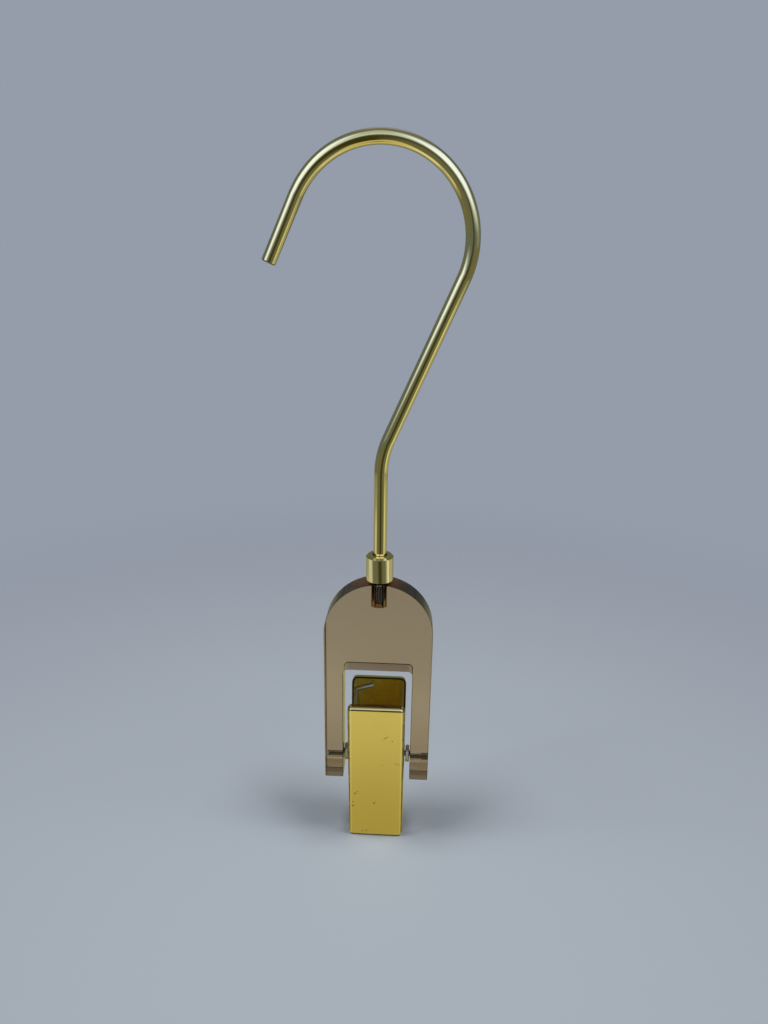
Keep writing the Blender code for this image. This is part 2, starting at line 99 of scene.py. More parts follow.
# The hook's tip, in metres, and the way it points, as the machined part has it
WIRE_TIP = (-0.03128, 0, -0.02885)
WIRE_TIP_WAY = (-0.4226, 0, -0.9063)
WIRE_TIP_CHAMFER = 0.0003
TIP_SOFT = 0.0001
TAIL_REACH = (0.004, 0.005)
PLATING_SOFT = 0.0002

# The collar's top, in metres above the fork's crown, as the machined part has it, and its chamfer below it
COLLAR_TOP = 0.0085
COLLAR_CHAMFER = (0.0007, 0.0005)

# The swivel insert, in metres below the fork's crown, as the machined part has it, and the painted highlight round
# its slots
INSERT_WAIST = 0.0032
WAIST_SOFT = 0.0001
SLOT_ARC = 0.0017
SLOT_HALF = 0.0008
SLOT_HIGHLIGHT_RING = (0.00022, 0.00034)
INSERT_OUTSIDE = 0.0022
OUTSIDE_STRIP = (0.0002, 0.0001)

# The fork, in metres, as the machined part has it
FORK_HALF = 0.0040
FORK_SIDE = 0.0170
FORK_BEVEL = 0.00025
FORK_FOOT_Z = -0.190568
WINDOW_HALF = 0.0110

# How far its polished bores reach from their axes, and the strips where its sawn and bevelled faces begin, in metres
BORE_REACH = 0.0027
BORE_SOFT = 0.0002
PIN_HOLE_REACH = 0.0017
PIN_HOLE_SOFT = 0.0001
BEVEL_STRIP = (0.00004, 0.00006)
BEVEL_EDGE = 0.00003
BEVEL_SOFT = 0.00002
OUTER_STRIP = (0.0006, 0.0003)
INNER_STRIP = (0.0002, 0.0003)
ARCH_STRIP = (0.001, 0.003)
SOLE_STRIP = (0.00005, 0.00015)

# Where shade is painted on its legs, in metres above the pin, above their feet, and from their middle to the front
LEG_SHADE_TOP = 0.024
LEG_END_FOOT = 0.0019
LEG_END_TOP = 0.0070
LEG_FOOT_SOFT = 0.0003
LEG_END_SOFT = 0.0005
LEG_FRONT = 0.001

# Tones, as the linear light values that a shader takes
# painted shade along the plates' rolled sides, feet and tops
PAINTED_RIM_SHADE = (0.13, 0.115, 0.06, 1)
# the sheet's cut edge is darker, partly as its bare edge and partly as painted shade; the rear plate's, inside the
# clip, is darker still as painted shade
BARE_EDGE_AND_SHADE = (0.20, 0.17, 0.09, 1)
REAR_EDGE_PAINTED_SHADE = (0.08, 0.065, 0.03, 1)
SCUFF_TONE = (0.25, 0.155, 0.02, 1)
# painted highlight on the line beside the front plate's rolled edges
PAINTED_EDGE_HIGHLIGHT = (0.98, 0.82, 0.46, 1)
BARE_STEEL = (0.045, 0.042, 0.040, 1)
DULL_TIP = (0.16, 0.14, 0.07, 1)
# warmer gold on the collar's top and chamfer: a painted reflection
COLLAR_TOP_REFLECTION_TINT = (0.86, 0.66, 0.22, 1)
BROWNED_STEEL = (0.014, 0.018, 0.026, 1)
# painted highlight round the insert's slots
PAINTED_SLOT_HIGHLIGHT = (0.97, 0.98, 1.0, 1)
SPECK_TONE = (0.45, 0.38, 0.25, 1)
CLEAR = (1, 1, 1, 1)
# painted shade on the fork's sawn sides and bevels
EDGE_PAINTED_SHADE = (0.55, 0.50, 0.38, 1)
# painted shade on the fork's crown
CROWN_PAINTED_SHADE = (0.72, 0.70, 0.56, 1)
# painted shade on the fork's legs, deeper on their front ends
LEG_PAINTED_SHADE = (0.84, 0.80, 0.80, 1)
LEG_END_PAINTED_SHADE = (0.36, 0.31, 0.27, 1)
BRONZE = (0.785, 0.56, 0.15, 1)
BRONZE_DENSITY = 160
RUBBER_TONES = ((0.018, 0.018, 0.018, 1), (0.045, 0.043, 0.040, 1))

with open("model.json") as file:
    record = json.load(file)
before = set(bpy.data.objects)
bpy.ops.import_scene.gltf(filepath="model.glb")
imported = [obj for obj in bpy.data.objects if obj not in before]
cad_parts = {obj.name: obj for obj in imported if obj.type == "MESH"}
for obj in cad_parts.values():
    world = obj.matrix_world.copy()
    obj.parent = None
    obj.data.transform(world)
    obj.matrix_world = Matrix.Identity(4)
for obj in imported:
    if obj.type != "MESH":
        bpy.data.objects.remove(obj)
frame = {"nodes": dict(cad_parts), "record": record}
cad_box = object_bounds()
nodes = frame["nodes"]
JOINTS = {joint["name"]: joint["pos_m"] for joint in frame["record"]["behaviour"]["joints"]}
PIN = Vector(JOINTS["clip_swing"])
CROWN_Z = JOINTS["hook_swivel"][2]
FLOOR_GAP = 0.0001
FLOOR_Z = cad_box[0][2] - FLOOR_GAP


def linear(red, green, blue):
    """A colour picked on screen, from 0 to 255, as the linear light values that a shader takes."""
    values = []
    for value in (red, green, blue):
        share = value / 255
        values.append(share / 12.92 if share <= 0.04045 else ((share + 0.055) / 1.055) ** 2.4)
    return (*values, 1.0)


# Camera and studio
def place_camera():
    """Sets the camera where the photograph was taken from."""
    turn, tilt, roll = (math.radians(angle) for angle in (CAMERA_TURN, CAMERA_TILT, CAMERA_ROLL))
    ahead = Vector((math.sin(turn) * math.cos(tilt), math.cos(turn) * math.cos(tilt), -math.sin(tilt)))
    level = Vector((math.cos(turn), -math.sin(turn), 0))
    upright = level.cross(ahead)
    right = level * math.cos(roll) + upright * math.sin(roll)
    up = upright * math.cos(roll) - level * math.sin(roll)
    data = bpy.data.cameras.new("camera")
    data.sensor_fit = "VERTICAL"
    data.sensor_height = SENSOR_HEIGHT
    data.lens = FOCAL_PIXELS * SENSOR_HEIGHT / IMAGE_HEIGHT
    data.clip_start = CAMERA_NEAR
    data.clip_end = CAMERA_FAR
    camera = bpy.data.objects.new("camera", data)
    bpy.context.scene.collection.objects.link(camera)
    camera.matrix_world = Matrix.Translation(CAMERA_PLACE) @ Matrix((right, up, -ahead)).transposed().to_4x4()
    bpy.context.scene.camera = camera


# The plain studio: the backdrop fades by the sine of its rise, and the floor by its metres from the hanger
STUDIO_TONE = linear(149, 156, 170)
STUDIO_ABOVE = linear(119, 121, 134)
BACKDROP_FADE = (0.34, 0.60)
SKY_LIGHT = (0.060, 0.062, 0.064, 1)
FLOOR_COLOUR = (0.47, 0.52, 0.585, 1)
FLOOR_FADE = (0.05, 0.42)
FLOOR_RADIUS = 12
FLOOR_CORNERS = 96

# The two softboxes: their place in metres out to each side, back and up, their size, watts and aim
SOFTBOX_OUT = 0.24
SOFTBOX_BACK = -0.10
SOFTBOX_UP = 0.52
SOFTBOX_SIZE = 0.22
SOFTBOX_POWER = 2.42
SOFTBOX_AIM = Vector((0, 0, -0.11))

# What polished metal shows of the room: each patch lies over the ones before it. Turns are in degrees from the
# camera's side, + to the right, or to both sides where mirrored; the second pair is degrees above the horizon.
ROOM_TONE = (0.13, 0.165, 0.17, 1)
ROOM_PATCHES = [
    ("ceiling", True, (0, 200), (66, 110), (0.19, 0.20, 0.19)),
    ("back wall's glow", True, (158, 200), (32, 68), (0.32, 0.39, 0.62)),
    ("right wall", False, (58, 104), (-20, 20), (0.24, 0.28, 0.25)),
    ("window", False, (-74, 80), (10, 60), (0.58, 0.74, 1.03)),
    ("left pane", False, (-64, -17), (14, 50), (1.12, 1.36, 2.14)),
    ("right pane", False, (8, 62), (18, 46), (1.12, 1.36, 2.38)),
    ("right pane's top", False, (38, 80), (32, 58), (1.06, 1.30, 2.14)),
    ("window post", False, (-20, 3), (30, 66), (0.48, 0.60, 0.68)),
    ("dark gap under the window", False, (-4, 18), (-20, 10), (0.045, 0.05, 0.03)),
]

# The same for the table, where the second pair is metres from the hanger
# Near the hanger the table is darker: a painted shadow that polished metal reflects.
TABLE_NEAR = (0.42, 0.38, 0.14, 1)
TABLE_NEAR_REACH = 0.07
TABLE_TONE = (0.63, 0.61, 0.32, 1)
TABLE_PATCHES = [
    ("sides of the table", True, (60, 128), (0.085, 0.22), (0.82, 0.82, 0.62)),
    ("left end of the table", False, (-128, -62), (0.21, 20), (0.30, 0.31, 0.23)),
    ("right end of the table", False, (62, 128), (0.19, 20), (0.42, 0.44, 0.33)),
    ("lamp's shine on the table", False, (71, 84), (0.17, 0.42), (0.92, 0.97, 0.66)),
    ("left of the table", False, (-98, -60), (0.22, 0.36), (0.66, 0.68, 0.56)),
    ("back of the table", True, (128, 200), (0.15, 20), (0.28, 0.28, 0.19)),
    ("front of the table", True, (0, 60), (0.13, 20), (0.15, 0.16, 0.11)),
    ("far ends of the table", True, (48, 200), (0.48, 20), (0.16, 0.175, 0.12)),
    ("shade in front of the hanger", False, (-9, 21), (0.10, 20), (0.045, 0.045, 0.01)),
]

# How soft the patches' edges are: in turn, in rise, and in reach over the table
SOFT_TURN = 18.0
SOFT_RISE = 12.0
SOFT_REACH = 0.05


def new_nodes(tree):
    """An emptied node tree's nodes and links."""
    tree.nodes.clear()
    return tree.nodes, tree.links


def mirror_share(make, link, path):
    """1 for a ray that a surface reflects, and 0 for one that the camera or a see-through piece sends on."""
    sent_back = maths(make, link, "SUBTRACT", 1.0, path.outputs["Is Transmission Ray"])
    return product(make, link, path.outputs["Is Glossy Ray"], sent_back)


def turn_of(make, link, across, along):
    """The turn in degrees from the camera's side, + to the right, and the same without its sign."""
    toward = product(make, link, along, -1.0)
    turn = product(make, link, maths(make, link, "ARCTAN2", across, toward), math.degrees(1))
    return turn, maths(make, link, "ABSOLUTE", turn)


def lay_patches(make, link, tone, patches, turn, both_ways, level, soft_level):
    """Lays soft patches over a tone, each between two turns and two levels."""
    for _, mirrored, turns, levels, colour in patches:
        across = within(make, link, both_ways if mirrored else turn, *turns, SOFT_TURN)
        upward = within(make, link, level, *levels, soft_level)
        tone = mixed(make, link, product(make, link, across, upward), tone, (*colour, 1))
    return tone


def light_world():
    """A plain pale studio, with a room of its own for polished metal to reflect."""
    world = bpy.data.worlds.new("studio")
    world.use_nodes = True
    make, link = new_nodes(world.node_tree)
    coordinates = make.new("ShaderNodeTexCoord")
    across, along, upward = parts_of(make, link, coordinates.outputs["Generated"])
    plain = mixed(make, link, ranged(make, link, upward, *BACKDROP_FADE), STUDIO_TONE, STUDIO_ABOVE)
    turn, both_ways = turn_of(make, link, across, along)
    rise = product(make, link, maths(make, link, "ARCSINE", upward), math.degrees(1))
    room = lay_patches(make, link, ROOM_TONE, ROOM_PATCHES, turn, both_ways, rise, SOFT_RISE)
    path = make.new("ShaderNodeLightPath")
    mirror = mirror_share(make, link, path)
    tone = mixed(make, link, path.outputs["Is Diffuse Ray"], plain, SKY_LIGHT)
    background = make.new("ShaderNodeBackground")
    out = make.new("ShaderNodeOutputWorld")
    link.new(mixed(make, link, mirror, tone, room), background.inputs["Color"])
    link.new(background.outputs[0], out.inputs["Surface"])
    bpy.context.scene.world = world


def mixed_shader(make, link, share, first, second):
    """One Mix Shader node; returns its output."""
    made = make.new("ShaderNodeMixShader")
    for slot, term in enumerate((share, first, second)):
        link.new(term, made.inputs[slot])
    return made.outputs[0]


def floor_finish():
    """A pale matt floor that fades into the studio's own tone, with the table's tones for polished metal."""
    finish = bpy.data.materials.new("studio floor")
    finish.use_nodes = True
    make, link = new_nodes(finish.node_tree)
    place = make.new("ShaderNodeNewGeometry").outputs["Position"]
    flat = stretched(make, link, place, (1, 1, 0))
    across, along, _ = parts_of(make, link, flat)
    turn, both_ways = turn_of(make, link, across, along)
    reach = length_of(make, link, flat)
    near = mixed(make, link, ranged(make, link, reach, 0.0, TABLE_NEAR_REACH), TABLE_NEAR, TABLE_TONE)
    table = lay_patches(make, link, near, TABLE_PATCHES, turn, both_ways, reach, SOFT_REACH)
    mirror = mirror_share(make, link, make.new("ShaderNodeLightPath"))
    matt = make.new("ShaderNodeBsdfDiffuse")
    matt.inputs["Color"].default_value = FLOOR_COLOUR
    plain_glow, table_glow = make.new("ShaderNodeEmission"), make.new("ShaderNodeEmission")
    plain_glow.inputs["Color"].default_value = STUDIO_TONE
    link.new(table, table_glow.inputs["Color"])
    fade = ranged(make, link, reach, *FLOOR_FADE)
    faded = mixed_shader(make, link, fade, matt.outputs[0], plain_glow.outputs[0])
    shown = mixed_shader(make, link, mirror, faded, table_glow.outputs[0])
    out = make.new("ShaderNodeOutputMaterial")
    link.new(shown, out.inputs["Surface"])
    return finish


def lay_floor():
    """The floor that the hanger stands over."""
    bpy.ops.mesh.primitive_circle_add(
        vertices=FLOOR_CORNERS, radius=FLOOR_RADIUS, fill_type="NGON", location=(0, 0, FLOOR_Z)
    )
    floor = bpy.context.object
    floor.name = "floor"
    floor.data.materials.append(floor_finish())


def hang_softbox(name, side):
    """A square softbox to the left (-1) or right (1) that faces the hanger, and that polished metal doesn't show."""
    data = bpy.data.lights.new(name, "AREA")
    data.shape = "RECTANGLE"
    data.size = data.size_y = SOFTBOX_SIZE
    data.energy = SOFTBOX_POWER
    light = bpy.data.objects.new(name, data)
    bpy.context.scene.collection.objects.link(light)
    place = Vector((side * SOFTBOX_OUT, SOFTBOX_BACK, SOFTBOX_UP))
    aim = SOFTBOX_AIM - place
    light.matrix_world = Matrix.Translation(place) @ aim.to_track_quat("-Z", "Y").to_matrix().to_4x4()
    light.visible_camera = False
    light.visible_glossy = False
    light.visible_transmission = False


def set_studio():
    """The world, the floor and the two softboxes."""
    light_world()
    lay_floor()
    hang_softbox("left softbox", -1)
    hang_softbox("right softbox", 1)


# Nodes that the finishes share
def new_group(name, inputs, outputs):
    """A node group with these sockets: its tree, nodes, links, and its two ends."""
    group = bpy.data.node_groups.new(name, "ShaderNodeTree")
    for label, kind, value in inputs:
        socket = group.interface.new_socket(label, in_out="INPUT", socket_type=kind)
        socket.default_value = value
    for label, kind in outputs:
        group.interface.new_socket(label, in_out="OUTPUT", socket_type=kind)
    start = group.nodes.new("NodeGroupInput")
    end = group.nodes.new("NodeGroupOutput")
    return group, group.nodes, group.links, start, end


def noise(make, link, place, scale, detail=3.0, rough=0.5):
    """Cloudy noise from 0 to 1; the scale is cells per metre."""
    made = make.new("ShaderNodeTexNoise")
    made.inputs["Scale"].default_value = scale
    made.inputs["Detail"].default_value = detail
    made.inputs["Roughness"].default_value = rough
    link.new(place, made.inputs["Vector"])
    return made.outputs["Fac"]


def ranged(make, link, source, low, high, to_low=0.0, to_high=1.0):
    """A smooth step of the source from low to high."""
    made = make.new("ShaderNodeMapRange")
    made.interpolation_type = "SMOOTHSTEP"
    for label, value in (("From Min", low), ("From Max", high), ("To Min", to_low), ("To Max", to_high)):
        made.inputs[label].default_value = value
    link.new(source, made.inputs["Value"])
    return made.outputs["Result"]


def fading(make, link, source, low, high):
    """1 up to low, and a smooth step down to 0 at high."""
    return ranged(make, link, source, low, high, 1.0, 0.0)


def within(make, link, source, low, high, soft):
    """1 between low and high, with a soft edge on both sides."""
    off = maths(make, link, "ABSOLUTE", maths(make, link, "SUBTRACT", source, (low + high) / 2))
    half = (high - low) / 2
    soft = min(soft, high - low)
    return fading(make, link, off, half - soft / 2, half + soft / 2)


def maths(make, link, operation, first, second=0.0):
    """One Math node; each term is a socket or a plain number."""
    made = make.new("ShaderNodeMath")
    made.operation = operation
    for slot, term in enumerate((first, second)):
        if isinstance(term, (int, float)):
            made.inputs[slot].default_value = term
        else:
            link.new(term, made.inputs[slot])
    return made.outputs[0]


def product(make, link, first, *others):
    """The terms multiplied together."""
    for term in others:
        first = maths(make, link, "MULTIPLY", first, term)
    return first


def greatest(make, link, first, *others):
    """The greatest of the terms."""
    for term in others:
        first = maths(make, link, "MAXIMUM", first, term)
    return first


def parts_of(make, link, place):
    """The X, Y and Z of a place or a direction."""
    split = make.new("ShaderNodeSeparateXYZ")
    link.new(place, split.inputs[0])
    return [split.outputs[axis] for axis in "XYZ"]


def length_of(make, link, offset):
    """How long an offset is."""
    made = make.new("ShaderNodeVectorMath")
    made.operation = "LENGTH"
    link.new(offset, made.inputs[0])
    return made.outputs["Value"]


def off_axis(make, link, first, second):
    """The distance from an axis, of a place with these two offsets from it."""
    squares = [product(make, link, offset, offset) for offset in (first, second)]
    return maths(make, link, "SQRT", maths(make, link, "ADD", *squares))


def mixed(make, link, share, first, second, blend="MIX"):
    """One colour Mix node; the share and the colours are sockets or plain values."""
    made = make.new("ShaderNodeMix")
    made.data_type = "RGBA"
    made.blend_type = blend
    for label, term in (("Factor", share), ("A", first), ("B", second)):
        if isinstance(term, bpy.types.NodeSocket):
            link.new(term, made.inputs[label])
        else:
            made.inputs[label].default_value = term
    return made.outputs["Result"]


def stretched(make, link, place, scale, turn=(0, 0, 0)):
    """A place scaled, then turned by these degrees."""
    made = make.new("ShaderNodeMapping")
    made.inputs["Scale"].default_value = scale
    made.inputs["Rotation"].default_value = [math.radians(angle) for angle in turn]
    link.new(place, made.inputs["Vector"])
    return made.outputs["Vector"]


def object_place(make):
    """Places on a piece, in metres, which ride along as it moves."""
    return make.new("ShaderNodeTexCoord").outputs["Object"]


def tone_group():
    """Slow changes of tone in a plated or polished face: clouds, and a fine mottle."""
    group, make, link, start, end = new_group(
        "plating tone",
        [
            ("Position", "NodeSocketVector", (0, 0, 0)),
            ("Colour", "NodeSocketColor", (0.8, 0.7, 0.3, 1)),
            ("Second Colour", "NodeSocketColor", (0.8, 0.7, 0.4, 1)),
            ("Amount", "NodeSocketFloat", 0.5),
        ],
        [("Colour", "NodeSocketColor"), ("Cloud", "NodeSocketFloat")],
    )
    place = start.outputs["Position"]
    cloud = ranged(make, link, noise(make, link, place, scale=90), low=0.35, high=0.65)
    mottle = ranged(make, link, noise(make, link, place, scale=900, detail=4, rough=0.6), low=0.4, high=0.7)
    both = product(make, link, maths(make, link, "ADD", cloud, mottle), 0.5)
    share = product(make, link, both, start.outputs["Amount"])
    colour = mixed(make, link, share, start.outputs["Colour"], start.outputs["Second Colour"])
    link.new(colour, end.inputs["Colour"])
    link.new(both, end.inputs["Cloud"])
    return group


# Hairline scratches: the turn in degrees and the fineness of each set, and how far a line is drawn out
SCRATCH_SETS = [((20, 70, 15), 5200), ((70, 20, 60), 4300), ((-35, 10, 100), 6100)]
SCRATCH_DRAWN = (1, 0.02, 0.02)


def scratch_group():
    """Hairline scratches that lie in a few directions, some of them in patches."""
    group, make, link, start, end = new_group(
        "hairline scratches",
        [
            ("Position", "NodeSocketVector", (0, 0, 0)),
            ("Density", "NodeSocketFloat", 0.5),
        ],
        [("Mask", "NodeSocketFloat"), ("Height", "NodeSocketFloat")],
    )
    place = start.outputs["Position"]
    sets = []
    for turn, fineness in SCRATCH_SETS:
        drawn = stretched(make, link, place, SCRATCH_DRAWN, turn)
        line = noise(make, link, drawn, fineness, detail=1.0, rough=0.4)
        turned = stretched(make, link, place, (1, 1, 1), turn)
        patch = noise(make, link, turned, scale=260, detail=2)
        thin = ranged(make, link, line, low=0.66, high=0.74)
        sets.append(product(make, link, thin, ranged(make, link, patch, low=0.5, high=0.62)))
    mask = product(make, link, greatest(make, link, *sets), start.outputs["Density"])
    link.new(mask, end.inputs["Mask"])
    link.new(product(make, link, mask, -1.0), end.inputs["Height"])
    return group


# Specks: how far their edges wander, in metres, how finely they do, and how soft they are
SPECK_WANDER = 0.0004
SPECK_WANDER_SCALE = 1800
SPECK_SOFT = 0.03


def speck_group():
    """Sparse dark specks and tiny dents, as handling leaves on plated steel."""
    group, make, link, start, end = new_group(
        "specks and dents",
        [
            ("Position", "NodeSocketVector", (0, 0, 0)),
            ("Scale", "NodeSocketFloat", 300.0),
            ("Share", "NodeSocketFloat", 0.15),
            ("Size", "NodeSocketFloat", 0.12),
        ],
        [("Mask", "NodeSocketFloat"), ("Height", "NodeSocketFloat")],
    )
    wander = make.new("ShaderNodeTexNoise")
    wander.inputs["Scale"].default_value = SPECK_WANDER_SCALE
    shift = make.new("ShaderNodeVectorMath")
    shift.operation = "SCALE"
    shift.inputs["Scale"].default_value = SPECK_WANDER
    ragged = make.new("ShaderNodeVectorMath")
    ragged.operation = "ADD"
    link.new(start.outputs["Position"], wander.inputs["Vector"])
    link.new(wander.outputs["Color"], shift.inputs[0])
    link.new(start.outputs["Position"], ragged.inputs[0])
    link.new(shift.outputs[0], ragged.inputs[1])
    cells = make.new("ShaderNodeTexVoronoi")
    link.new(ragged.outputs[0], cells.inputs["Vector"])
    link.new(start.outputs["Scale"], cells.inputs["Scale"])
    draws = make.new("ShaderNodeSeparateColor")
    link.new(cells.outputs["Color"], draws.inputs[0])
    own_size = product(make, link, draws.outputs["Green"], start.outputs["Size"])
    near = maths(make, link, "SUBTRACT", own_size, cells.outputs["Distance"])
    spot = ranged(make, link, near, 0.0, SPECK_SOFT)
    chosen = maths(make, link, "LESS_THAN", draws.outputs["Red"], start.outputs["Share"])
    mask = product(make, link, spot, chosen)
    link.new(mask, end.inputs["Mask"])
    link.new(product(make, link, mask, -1.0), end.inputs["Height"])
    return group


def place_group(make, link, group, place, **values):
    """Sets a shared group in a material, with its own values."""
    made = make.new("ShaderNodeGroup")
    made.node_tree = group
    link.new(place, made.inputs["Position"])
    for label, value in values.items():
        made.inputs[label.replace("_", " ")].default_value = value
    return made


def bumped(make, link, shader, height, distance, strength):
    """Lets a height show on the shader as relief; the distance is in metres."""
    bump = make.new("ShaderNodeBump")
    bump.inputs["Distance"].default_value = distance
    bump.inputs["Strength"].default_value = strength
    link.new(height, bump.inputs["Height"])
    link.new(bump.outputs["Normal"], shader.inputs["Normal"])


def new_finish(name):
    """A new material, its nodes and links, and its shader."""
    finish = bpy.data.materials.new(name)
    finish.use_nodes = True
    make, link = finish.node_tree.nodes, finish.node_tree.links
    return finish, make, link, make["Principled BSDF"]


# Metals: how much their tone changes, how their polish follows it, and what scratches and specks add to it
TONE_AMOUNT = 0.8
POLISH = (0.85, 1.2)
SCRATCH_DULLS = 0.18
SPECK_DULLS = 0.25


def metal_finish(name, colour, second, roughness, density=0.4, speck_share=0.06, extra=None):
    """Polished or plated metal: tone clouds, hairline scratches and a few specks."""
    finish, make, link, shader = new_finish(name)
    place = object_place(make)
    shader.inputs["Metallic"].default_value = 1
    tones = {"Colour": (*colour, 1), "Second_Colour": (*second, 1)}
    tone = place_group(make, link, TONE, place, Amount=TONE_AMOUNT, **tones)
    lines = place_group(make, link, SCRATCHES, place, Density=density)
    specks = place_group(make, link, SPECKS, place, Scale=420, Share=speck_share, Size=0.10)
    base = tone.outputs["Colour"]
    if extra:
        base = extra(make, link, place, base)
    dark = mixed(make, link, 1.0, base, SPECK_TONE, "MULTIPLY")
    base = mixed(make, link, specks.outputs["Mask"], base, dark)
    link.new(base, shader.inputs["Base Color"])
    dull = ranged(make, link, tone.outputs["Cloud"], 0.0, 1.0, *(roughness * share for share in POLISH))
    scratched = product(make, link, lines.outputs["Mask"], SCRATCH_DULLS)
    spotted = product(make, link, specks.outputs["Mask"], SPECK_DULLS)
    rough = maths(make, link, "ADD", dull, maths(make, link, "ADD", scratched, spotted))
    link.new(rough, shader.inputs["Roughness"])
    height = maths(make, link, "ADD", lines.outputs["Height"], specks.outputs["Height"])
    bumped(make, link, shader, height, distance=0.00001, strength=0.35)
    return finish


def wire_ends(make, link, place, base):
    """The wire's foot in the insert is left unplated, and its cut tip is dull."""
    across, _, upward = parts_of(make, link, place)
    plated = ranged(make, link, upward, CROWN_Z - PLATING_SOFT, CROWN_Z + PLATING_SOFT)
    base = mixed(make, link, plated, BARE_STEEL, base)
    along = make.new("ShaderNodeVectorMath")
    along.operation = "DOT_PRODUCT"
    link.new(place, along.inputs[0])
    along.inputs[1].default_value = WIRE_TIP_WAY
    chamfer = Vector(WIRE_TIP).dot(Vector(WIRE_TIP_WAY)) - WIRE_TIP_CHAMFER
    cut = ranged(make, link, along.outputs["Value"], chamfer - TIP_SOFT, chamfer)
    on_tail = fading(make, link, across, *(WIRE_TIP[0] + reach for reach in TAIL_REACH))
    return mixed(make, link, product(make, link, cut, on_tail), base, DULL_TIP)


def collar_marks(make, link, place, base):
    """The collar's top and its chamfer are given a warmer gold than its sides, as a painted reflection."""
    _, _, upward = parts_of(make, link, place)
    top = ranged(make, link, upward, *(CROWN_Z + COLLAR_TOP - depth for depth in COLLAR_CHAMFER))
    return mixed(make, link, top, base, COLLAR_TOP_REFLECTION_TINT)


def insert_marks(make, link, place, base):
    """The insert's foot is browned, and a highlight is painted round the edge of its slots."""
    across, deep, upward = parts_of(make, link, place)
    waist = CROWN_Z - INSERT_WAIST
    below_waist = fading(make, link, upward, waist - WAIST_SOFT, waist + WAIST_SOFT)
    base = mixed(make, link, below_waist, base, BROWNED_STEEL)
    over_arc = greatest(make, link, maths(make, link, "SUBTRACT", upward, CROWN_Z - SLOT_ARC), 0.0)
    off_slot = maths(make, link, "SUBTRACT", off_axis(make, link, across, over_arc), SLOT_HALF)
    slot_highlight = fading(make, link, off_slot, *SLOT_HIGHLIGHT_RING)
    from_axis = off_axis(make, link, across, deep)
    outside = ranged(make, link, from_axis, *(INSERT_OUTSIDE - depth for depth in OUTSIDE_STRIP))
    return mixed(make, link, product(make, link, slot_highlight, outside), base, PAINTED_SLOT_HIGHLIGHT)


# Scuffs on the front plate, in millimetres from the pin up its face: x, z, length, width, turn
SCUFFS = [
    (3.20, 12.95, 1.9, 0.30, 35),
    (5.28, 11.62, 0.5, 0.35, 0),
    (6.33, 2.14, 0.55, 0.30, 20),
    (7.27, 1.71, 0.8, 0.30, -15),
    (-8.37, 3.66, 0.35, 0.35, 0),
    (-6.87, -11.64, 0.9, 0.5, 50),
    (-6.06, -10.78, 0.6, 0.35, 20),
    (-7.56, -17.20, 0.7, 0.75, 80),
    (-7.61, -15.44, 0.6, 0.40, 60),
    (-0.44, -15.60, 0.9, 0.55, 60),
    (8.82, -13.96, 0.5, 0.6, 0),
    (-4.36, -28.93, 0.6, 0.35, 90),
    (-3.09, -28.65, 0.9, 0.35, 40),
    (-8.41, -5.26, 0.3, 0.4, 0),
    (8.60, 8.10, 0.3, 0.3, 0),
]

# How far a scuff spreads past that size, how ragged and soft its edge is, and how strongly it shows
SCUFF_SPREAD = 1.35
SCUFF_RAGGED = 1.2
SCUFF_EDGE = (1.15, 1.75)
SCUFF_DEPTH = 0.001
SCUFF_SHARE = 0.65

# How strongly the painted shade on the rolled rim shows on each plate; on the front one it is patchy
FRONT_RIM_SHARE = (0.70, 0.95)
REAR_RIM_SHARE = 0.35


def scuff_group():
    """One ragged scuff at a place of its own."""
    group, make, link, start, end = new_group(
        "scuff",
        [
            ("Position", "NodeSocketVector", (0, 0, 0)),
            ("Centre", "NodeSocketVector", (0, 0, 0)),
            ("Size", "NodeSocketVector", (0.001, 0.001, 0.001)),
            ("Turn", "NodeSocketVector", (0, 0, 0)),
        ],
        [("Mask", "NodeSocketFloat")],
    )
    moved = make.new("ShaderNodeMapping")
    moved.vector_type = "TEXTURE"
    for source, target in (("Position", "Vector"), ("Centre", "Location"), ("Turn", "Rotation"), ("Size", "Scale")):
        link.new(start.outputs[source], moved.inputs[target])
    reach = length_of(make, link, moved.outputs["Vector"])
    ragged = noise(make, link, start.outputs["Position"], scale=3200, detail=3, rough=0.6)
    edge = maths(make, link, "ADD", reach, product(make, link, ragged, SCUFF_RAGGED))
    link.new(fading(make, link, edge, *SCUFF_EDGE), end.inputs["Mask"])
    return group


def plate_place(make, link, place, facing):
    """Places on a plate, from the pin up its flat face."""
    made = make.new("ShaderNodeMapping")
    made.vector_type = "TEXTURE"
    made.inputs["Location"].default_value = PIN
    made.inputs["Rotation"].default_value = (PLATE_ANGLE, 0, facing)
    link.new(place, made.inputs["Vector"])
    return made.outputs["Vector"]


def plate_edges(make, link, local):
    """Shares of the plate's rolled rim, where shade is painted, of the line beside it, where a highlight is painted,
    and of the sheet's cut edge.
    """
    across, deep, upward = parts_of(make, link, local)
    lean = product(make, link, upward, math.tan(SIDE_LEAN))
    side = maths(make, link, "ADD", maths(make, link, "ABSOLUTE", across), lean)
    by_face = fading(make, link, deep, *(PLATE_FACE + depth for depth in FACE_STRIP))
    rolled = ranged(make, link, side, *(PLATE_SIDE - inset for inset in ROLLED_STRIP))
    foot = fading(make, link, upward, *(PLATE_FOOT + height for height in FOOT_STRIP))
    crease = within(make, link, upward, *(PLATE_TOP - depth for depth in TOP_STRIP), STRIP_SOFT)
    rim = greatest(make, link, product(make, link, by_face, rolled), foot, crease)
    beside = within(make, link, side, *(PLATE_SIDE - inset for inset in HIGHLIGHT_STRIP), STRIP_SOFT)
    off_cut = maths(make, link, "ABSOLUTE", maths(make, link, "SUBTRACT", deep, PLATE_RIM))
    return rim, product(make, link, by_face, beside), fading(make, link, off_cut, *CUT_STRIP)


